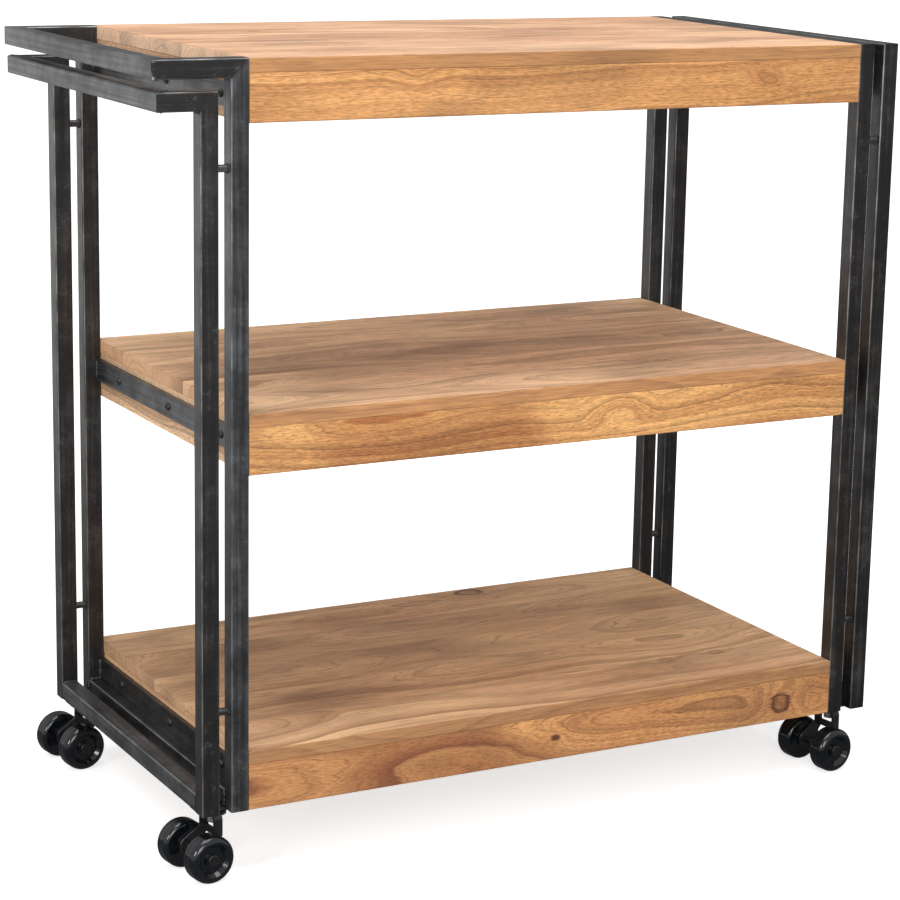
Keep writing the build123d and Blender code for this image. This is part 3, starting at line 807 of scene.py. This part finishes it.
# %% Steel on the frames and the casters
# The parts that lie in shade get the darker steel, which is painted shade
shaded_words = ("rear", "bottom", "arm", "outer_front")
for name in nodes:
    in_shade = name.startswith("right") or any(word in name for word in shaded_words)
    in_shade = in_shade and name != "left_outer_bottom_rail"
    steel = shaded_along if in_shade else steel_along
    if name.endswith("post"):
        dress(name, steel["Z"])
    elif name.endswith(("rail", "bar", "bracket")):
        dress(name, steel["Y"])
    elif name.endswith("arm") or name in ("spacer_pins", "caster_plates"):
        dress(name, steel["X"])
    elif name.endswith("fork"):
        dress(name, fork_steel)
    elif name.endswith("axle"):
        dress(name, screw_steel)
dress("bracket_screws", screw_steel)
print("nodes still without a finish", sum(1 for n in nodes if not nodes[n].data.materials))

# %% [markdown]
# ## Painted notch shade
# The dark plate on the handle's corner, further down, is painted shade and has a material of its own:
# dark, matt and grainy. One noise gives its colour and its relief, so that the grains that stand out are
# also the lighter ones, as they are where a brush has passed over them.

# %% Painted notch shade
scale_grains = 500  # per metre, 2 mm, coarser than real so that they show
scale_height = 0.0003

painted_notch_shade, tree = new_material("painted_notch_shade")
place = add(tree, "ShaderNodeTexCoord", out="Object")
crust = add(tree, "ShaderNodeTexNoise", {"Vector": place, "Scale": scale_grains, "Detail": 4.0})
colour = add(tree, "ShaderNodeValToRGB", {0: crust}, stops=((0.35, "#0d0d0e"), (0.65, "#28292c")))
normal = add(tree, "ShaderNodeBump", {"Strength": 0.6, "Distance": scale_height, "Height": crust})
feeds = {"Base Color": colour, "Roughness": 0.6, "Specular IOR Level": 0.25, "Normal": normal}
shader = add(tree, "ShaderNodeBsdfPrincipled", feeds)
add(tree, "ShaderNodeOutputMaterial", {"Surface": shader})
print("weld scale, grains of", 1000 / scale_grains, "mm")

# %% [markdown]
# ## Zinc plating
# Stems, washers and nuts are zinc plated: a pale metal that is neither mirror nor matt. An even grey would
# look like paint, so a fine spangle varies the colour and the gloss together, and breaks up the highlights.

# %% Zinc
zinc_spangle = 420  # per metre, 2.4 mm, coarser than on real plating

zinc, tree = new_material("zinc_plated_steel")
place = add(tree, "ShaderNodeTexCoord", out="Object")
spangle = add(tree, "ShaderNodeTexNoise", {"Vector": place, "Scale": zinc_spangle, "Detail": 3.0})
colour = add(tree, "ShaderNodeValToRGB", {0: spangle}, stops=((0.35, "#8f8f8c"), (0.65, "#b9b8b4")))
rough = add(tree, "ShaderNodeMapRange", {"Value": spangle, "To Min": 0.28, "To Max": 0.46})
shader = add(tree, "ShaderNodeBsdfPrincipled", {"Base Color": colour, "Metallic": 1.0, "Roughness": rough})
add(tree, "ShaderNodeOutputMaterial", {"Surface": shader})
for name in ("caster_stems", "caster_washers", "caster_nuts"):
    dress(name, zinc)
print("zinc, spangle of", round(1000 / zinc_spangle, 1), "mm")

# %% [markdown]
# ## Black polyamide
# The wheels are moulded from black polyamide. It is glossy, and the eye reads it by its clear reflections,
# dulled a little where the wheels have been handled. A mould never fills quite evenly, so the reflections
# ripple. The ripple is only in the shading, because it is far less deep than a facet of the mesh.

# %% Polyamide
wheel_scuffs = 130  # per metre, 8 mm
mould_ripple = 60  # per metre, 17 mm
ripple_height = 0.0005

polyamide, tree = new_material("black_polyamide")
place = add(tree, "ShaderNodeTexCoord", out="Object")
feeds = {"Vector": place, "Scale": wheel_scuffs, "Detail": 5.0, "Roughness": 0.65}
scuffs = add(tree, "ShaderNodeTexNoise", feeds)
colour = add(tree, "ShaderNodeValToRGB", {0: scuffs}, stops=((0.4, "#080a0d"), (0.7, "#15181d")))
feeds = {"Value": scuffs, "From Min": 0.4, "From Max": 0.75, "To Min": 0.05, "To Max": 0.2}
rough = add(tree, "ShaderNodeMapRange", feeds)
ripple = add(tree, "ShaderNodeTexNoise", {"Vector": place, "Scale": mould_ripple, "Detail": 2.0})
normal = add(tree, "ShaderNodeBump", {"Strength": 0.05, "Distance": ripple_height, "Height": ripple})
feeds = {"Base Color": colour, "Roughness": rough, "IOR": 1.53, "Normal": normal}
shader = add(tree, "ShaderNodeBsdfPrincipled", feeds)
add(tree, "ShaderNodeOutputMaterial", {"Surface": shader})
for name in nodes:
    if name.endswith("wheel"):
        dress(name, polyamide)
print("nodes without a finish:", [n for n in nodes if not nodes[n].data.materials])

# %% [markdown]
# ## Geometry Nodes for what repeats
# A weld is a row of small drops of metal, and eighteen screws differ only in how far each was turned. Both
# are grown by Geometry Nodes from a few places: edges to weld along, or points to screw into. A tree has
# named inputs, and the result is kept as a plain mesh, so that nothing has to be worked out again later.


# %% Helpers for Geometry Nodes
def new_tree(name, **inputs):
    """Geometry Nodes tree with a geometry input, named inputs of the given kinds and a geometry output."""
    tree = bpy.data.node_groups.new(name, "GeometryNodeTree")
    tree.interface.new_socket("Geometry", in_out="OUTPUT", socket_type="NodeSocketGeometry")
    tree.interface.new_socket("Geometry", in_out="INPUT", socket_type="NodeSocketGeometry")
    for key, kind in inputs.items():
        tree.interface.new_socket(key, in_out="INPUT", socket_type=f"NodeSocket{kind}")
    return tree, tree.nodes.new("NodeGroupInput").outputs


def close_tree(tree, instances, material):
    """Ends a tree: instances become real geometry with one material."""
    real = add(tree, "GeometryNodeRealizeInstances", {"Geometry": instances})
    dressed = add(tree, "GeometryNodeSetMaterial", {"Geometry": real, "Material": material})
    add(tree, "NodeGroupOutput", {0: dressed})


def grow(name, seeds, tree, **values):
    """Runs a tree on a mesh with the given inputs and keeps the result as a plain mesh object."""
    maker = new_object(f"{name}_maker", seeds)
    modifier = maker.modifiers.new("grow", "NODES")
    modifier.node_group = tree
    for item in tree.interface.items_tree:
        if item.in_out == "INPUT" and item.name in values:
            modifier[item.identifier] = values[item.name]
    graph = bpy.context.evaluated_depsgraph_get()
    mesh = bpy.data.meshes.new_from_object(maker.evaluated_get(graph), depsgraph=graph)
    bpy.data.objects.remove(maker)
    return new_object(name, mesh)


# %% [markdown]
# Spacer pins and screws are each one CAD node with many small pieces in it. To find where each piece is,
# its points are gathered into clumps, and every clump gets a box.

# %% Places of small pieces
clump_reach = 0.03  # points nearer than this belong together


def clumps(node):
    """Boxes of the separate small pieces of a CAD node."""
    found = []
    for vertex in nodes[node].data.vertices:
        point = nodes[node].matrix_world @ vertex.co
        for low, high in found:
            if all(low[i] - clump_reach < point[i] < high[i] + clump_reach for i in range(3)):
                low[:] = [min(a, b) for a, b in zip(low, point)]
                high[:] = [max(a, b) for a, b in zip(high, point)]
                break
        else:
            found.append((point.copy(), point.copy()))
    return found


pin_boxes = clumps("spacer_pins")
screw_boxes = clumps("bracket_screws")
print(len(pin_boxes), "pins and", len(screw_boxes), "screws")

# %% [markdown]
# ## Weld beads
# Where tubes meet in an inside corner the weld was left as it was laid, a bead with a fine ripple. On the
# flat sides the joint was ground down, and only a thin raised seam is left along the mitre. One tree makes
# all of it: drops on a path, large for a raw bead, smaller and uneven round a pin, tiny and close for a
# ground seam.

# %% Tree for beads along a path
bead_tree, given = new_tree(
    "weld_beads", Radius="Float", Spacing="Float", Unevenness="Float", Seed="Int", Material="Material",
)
path = add(bead_tree, "GeometryNodeMeshToCurve", {"Mesh": given["Geometry"]})
path = add(bead_tree, "GeometryNodeResampleCurve", {"Curve": path, "Length": given["Spacing"]}, mode="LENGTH")
drop = add(bead_tree, "GeometryNodeMeshIcoSphere", {"Radius": given["Radius"], "Subdivisions": 2})
drop = add(bead_tree, "GeometryNodeSetShadeSmooth", {"Geometry": drop})
smallest = add(bead_tree, "ShaderNodeMath", {0: 1.0, 1: given["Unevenness"]}, operation="SUBTRACT")
largest = add(bead_tree, "ShaderNodeMath", {0: 1.0, 1: given["Unevenness"]}, operation="ADD")
feeds = {2: smallest, 3: largest, 8: given["Seed"]}
size = add(bead_tree, "FunctionNodeRandomValue", feeds, out=1, data_type="FLOAT")
drops = add(bead_tree, "GeometryNodeInstanceOnPoints", {"Points": path, "Instance": drop, "Scale": size})
close_tree(bead_tree, drops, given["Material"])
print("bead tree", len(bead_tree.nodes), "nodes")

# %% [markdown]
# ### Where the welds are
# No path is measured by hand: each one runs along a corner of the boxes of the CAD pieces that meet there,
# so it stays right if the cart's sizes change. At the handle the inside corners are raw and the mitres are
# ground.

# %% Welds of the handle loops
inset = 0.004  # how far a bead stays from the end of its corner
raw_paths = []
ground_paths = []
for steel_frame, loop in (("inner", "upper"), ("outer", "lower")):
    bar_low, bar_high = box[f"{loop}_handle_bar"]
    for side in ("front", "rear"):
        post_low, post_high = box[f"left_{steel_frame}_{side}_post"]
        arm_low, arm_high = box[f"{loop}_handle_{side}_arm"]
        arm_outside, arm_inside = (arm_low.y, arm_high.y) if side == "front" else (arm_high.y, arm_low.y)
        raw_paths.append([(post_low.x, y, arm_low.z) for y in (arm_low.y + inset, arm_high.y - inset)])
        raw_paths.append([(bar_high.x, arm_inside, z) for z in (bar_low.z + inset, bar_high.z - inset)])
        for y in (arm_low.y, arm_high.y):
            ground_paths.append([(post_low.x, y, arm_low.z), (post_high.x - inset, y, arm_high.z - inset)])
        for z in [bar_low.z] + ([bar_high.z] if loop == "lower" else []):
            ground_paths.append([(bar_high.x, arm_inside, z), (bar_low.x + inset, arm_outside, z)])
print("handle:", len(raw_paths), "raw and", len(ground_paths), "ground welds")

# %% [markdown]
# The bottom rails are welded to the posts on top and on one open side. The seams of the left outer rail,
# which face the room, were ground. The brackets are welded up both ends, and each pin all round at both
# ends.

# %% Welds of the rails, the brackets and the pins
for end, steel_frame, open_side in (
    ("left", "inner", 0), ("left", "outer", 0), ("right", "inner", 1), ("right", "outer", 0),
):
    rail = box[f"{end}_{steel_frame}_bottom_rail"]
    x = rail[open_side].x
    side_paths = ground_paths if (end, steel_frame) == ("left", "outer") else raw_paths
    for y in (rail[0].y, rail[1].y):
        raw_paths.append([(rail[0].x + inset, y, rail[1].z), (rail[1].x - inset, y, rail[1].z)])
        side_paths.append([(x, y, rail[0].z + inset), (x, y, rail[1].z - inset)])
for name, (low, high) in box.items():
    if name.endswith("bracket"):
        x = low.x if "left" in name else high.x
        for y in (low.y, high.y):
            raw_paths.append([(x, y, low.z + inset), (x, y, high.z - inset)])

ring_steps = 14
turns = [2 * math.pi * i / ring_steps for i in range(ring_steps + 1)]
pin_paths = []
for low, high in pin_boxes:
    middle = (low + high) / 2
    radius = (high.z - low.z) / 2
    for x in (low.x, high.x):
        pin_paths.append([
            (x, middle.y + radius * math.cos(turn), middle.z + radius * math.sin(turn)) for turn in turns
        ])
print("in all:", len(raw_paths), "raw,", len(ground_paths), "ground and", len(pin_paths), "pin welds")

# %% [markdown]
# ### Beads on the paths
# A path becomes a chain of loose edges, which is what the tree takes in. All paths of one kind go into one
# mesh, so that each kind of weld ends up as one piece, which rides on the cart.


# %% Beads
def path_mesh(name, paths):
    """Mesh of loose edges, one chain for each path."""
    points = []
    edges = []
    for path in paths:
        edges += [(len(points) + i, len(points) + i + 1) for i in range(len(path) - 1)]
        points += path
    mesh = bpy.data.meshes.new(name)
    mesh.from_pydata(points, edges, [])
    return mesh


bead_seed = 5
welds = {  # paths, drop radius, distance between drops, unevenness, finish
    "raw_welds": (raw_paths, 0.0024, 0.0009, 0.16, weld_steel),
    "pin_welds": (pin_paths, 0.0013, 0.0011, 0.4, weld_steel),
    "ground_seams": (ground_paths, 0.0006, 0.0008, 0.2, seam_steel),
}
for name, (paths, radius, spacing, unevenness, finish) in welds.items():
    piece = grow(
        name, path_mesh(name, paths), bead_tree,
        Radius=radius, Spacing=spacing, Unevenness=unevenness, Seed=bead_seed, Material=finish,
    )
    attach(piece, "cart")
    print(name, len(paths), "paths,", len(piece.data.polygons), "faces")

# %% [markdown]
# ## Painted shade on a corner
# The outer front corner of the upper loop has a dark wedge on its rounding, broad at the top and running
# out below. It is painted shade: it stands in for the shade in a notch at the mitre. Drops on a path would
# look too neat here. It is a thin curved plate instead, made of rows of points that follow the rounding, a
# hair proud of the steel.

# %% Points of the painted corner shade
corner_round = 0.004
wedge_top, wedge_foot = 0.0085, 0.0022  # width of the wedge at its two ends
wedge_proud, wedge_deep = 0.0002, 0.0008  # how far it stands out of the steel and goes into it
wedge_gap = 0.003  # from its ends to the top and the bottom of the bar
wedge_rows, wedge_steps = 7, 10
wedge_way = 1.33 * math.pi  # the way that its middle faces, counted from +X
low, high = box["upper_handle_bar"]
arm_low = box["upper_handle_front_arm"][0]
wedge_points = []
for row in range(wedge_rows):
    share = row / (wedge_rows - 1)
    z = high.z - wedge_gap - share * (high.z - low.z - 2 * wedge_gap)
    half_turn = (wedge_top + (wedge_foot - wedge_top) * share) / 2 / corner_round
    for offset in (wedge_proud, -wedge_deep):
        reach = corner_round + offset
        for step in range(wedge_steps):
            turn = wedge_way + half_turn * (2 * step / (wedge_steps - 1) - 1)
            x = low.x + corner_round + reach * math.cos(turn)
            y = arm_low.y + corner_round + reach * math.sin(turn)
            wedge_points.append((max(x, low.x), y, z))
print("corner weld", len(wedge_points), "points")

# %% [markdown]
# Each row of points is closed into a ring, outside and inside, and neighbouring rings are joined by faces.
# The first and the last ring are capped, so the plate is a closed shape whose faces all point outwards.

# %% Faces of the painted corner shade
ring = 2 * wedge_steps  # points in a row, outside and inside
outline = list(range(wedge_steps)) + list(range(ring - 1, wedge_steps - 1, -1))
wedge_faces = []
for row in range(wedge_rows - 1):
    for a, b in zip(outline, outline[1:] + outline[:1]):
        wedge_faces.append((row * ring + b, row * ring + a, (row + 1) * ring + a, (row + 1) * ring + b))
wedge_faces.append(tuple(outline))
wedge_faces.append(tuple((wedge_rows - 1) * ring + i for i in reversed(outline)))
# Painted shade: a thin dark plate for the shade in the notch at the mitre
wedge_mesh = bpy.data.meshes.new("painted_corner_shade")
wedge_mesh.from_pydata(wedge_points, [], wedge_faces)
wedge_mesh.materials.append(painted_notch_shade)
painted_corner_shade = new_object("painted_corner_shade", wedge_mesh)
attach(painted_corner_shade, "cart")
print("corner weld", len(wedge_faces), "faces")

# %% [markdown]
# ## Cross-head screws
# The shelves hang on round-headed screws through the brackets. A head is a flattened ball with a cross cut
# into it. The driver stopped at a different angle on each. Copies would all look alike, so a tree makes the
# screw once, sets it on every point and gives each a chance turn about its axis.

# %% Tree for the screws
cross_length, cross_width = 1.1, 0.26  # of the cross, as shares of the head's radius

screw_tree, given = new_tree(
    "cross_head_screws", Head_Radius="Float", Head_Height="Float", Shank_Radius="Float", Shank_Length="Float",
    Seed="Int", Material="Material",
)
wide, tall = given["Head_Radius"], given["Head_Height"]
ball = add(screw_tree, "GeometryNodeMeshUVSphere", {"Segments": 32, "Rings": 16, "Radius": 1.0})
ball = add(screw_tree, "GeometryNodeSetShadeSmooth", {"Geometry": ball})
flat = add(screw_tree, "ShaderNodeCombineXYZ", {0: wide, 1: wide, 2: tall})
head = add(screw_tree, "GeometryNodeTransform", {"Geometry": ball, "Scale": flat})
long = add(screw_tree, "ShaderNodeMath", {0: wide, 1: cross_length}, operation="MULTIPLY")
thin = add(screw_tree, "ShaderNodeMath", {0: wide, 1: cross_width}, operation="MULTIPLY")
lift = add(screw_tree, "ShaderNodeCombineXYZ", {2: tall})
arms = []
for sizes in ((long, thin), (thin, long)):
    size = add(screw_tree, "ShaderNodeCombineXYZ", {0: sizes[0], 1: sizes[1], 2: tall})
    bar = add(screw_tree, "GeometryNodeMeshCube", {"Size": size})
    arms.append(add(screw_tree, "GeometryNodeTransform", {"Geometry": bar, "Translation": lift}))
head = add(screw_tree, "GeometryNodeMeshBoolean", {"Mesh 1": head, "Mesh 2": arms}, operation="DIFFERENCE")

feeds = {"Vertices": 16, "Radius": given["Shank_Radius"], "Depth": given["Shank_Length"]}
shank = add(screw_tree, "GeometryNodeMeshCylinder", feeds)
sink = add(screw_tree, "ShaderNodeMath", {0: given["Shank_Length"], 1: -0.5}, operation="MULTIPLY")
sink = add(screw_tree, "ShaderNodeCombineXYZ", {2: sink})
shank = add(screw_tree, "GeometryNodeTransform", {"Geometry": shank, "Translation": sink})
screw = add(screw_tree, "GeometryNodeJoinGeometry", {"Geometry": [head, shank]})

aim = add(screw_tree, "GeometryNodeInputNamedAttribute", {"Name": "aim"}, data_type="FLOAT_VECTOR")
upright = add(screw_tree, "FunctionNodeAlignRotationToVector", {"Vector": aim}, axis="Z")
feeds = {2: 0.0, 3: math.pi / 2, 8: given["Seed"]}
angle = add(screw_tree, "FunctionNodeRandomValue", feeds, out=1, data_type="FLOAT")
angle = add(screw_tree, "ShaderNodeCombineXYZ", {2: angle})
angle = add(screw_tree, "FunctionNodeEulerToRotation", {0: angle})
turned = add(screw_tree, "FunctionNodeRotateRotation", {0: upright, 1: angle}, rotation_space="LOCAL")
feeds = {"Points": given["Geometry"], "Instance": screw, "Rotation": turned}
close_tree(screw_tree, add(screw_tree, "GeometryNodeInstanceOnPoints", feeds), given["Material"])
print("screw tree", len(screw_tree.nodes), "nodes")

# %% [markdown]
# The screws stand exactly where the plain CAD screws are, and take their place. Each point carries the way
# that its screw looks, out of the bracket, as an attribute that the tree reads.

# %% Screws in their places
head_height = 0.003
shank_share = 0.55  # radius of the shank, as a share of the head's
screw_seed = 2
places = []
aims = []
for low, high in screw_boxes:
    outward = -1 if low.x < 0 else 1
    face = low.x + head_height if outward < 0 else high.x - head_height
    places.append((face, (low.y + high.y) / 2, (low.z + high.z) / 2))
    aims += [outward, 0, 0]
head_radius = (high.z - low.z) / 2
shank_length = high.x - low.x - head_height
screw_points = bpy.data.meshes.new("screw_points")
screw_points.from_pydata(places, [], [])
screw_points.attributes.new("aim", "FLOAT_VECTOR", "POINT").data.foreach_set("vector", aims)
screws = grow(
    "cross_head_screws", screw_points, screw_tree, Head_Radius=head_radius, Head_Height=head_height,
    Shank_Radius=head_radius * shank_share, Shank_Length=shank_length, Seed=screw_seed, Material=screw_steel,
)
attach(screws, "cart")
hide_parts("bracket_screws")
print(len(places), "screws,", len(screws.data.polygons), "faces")
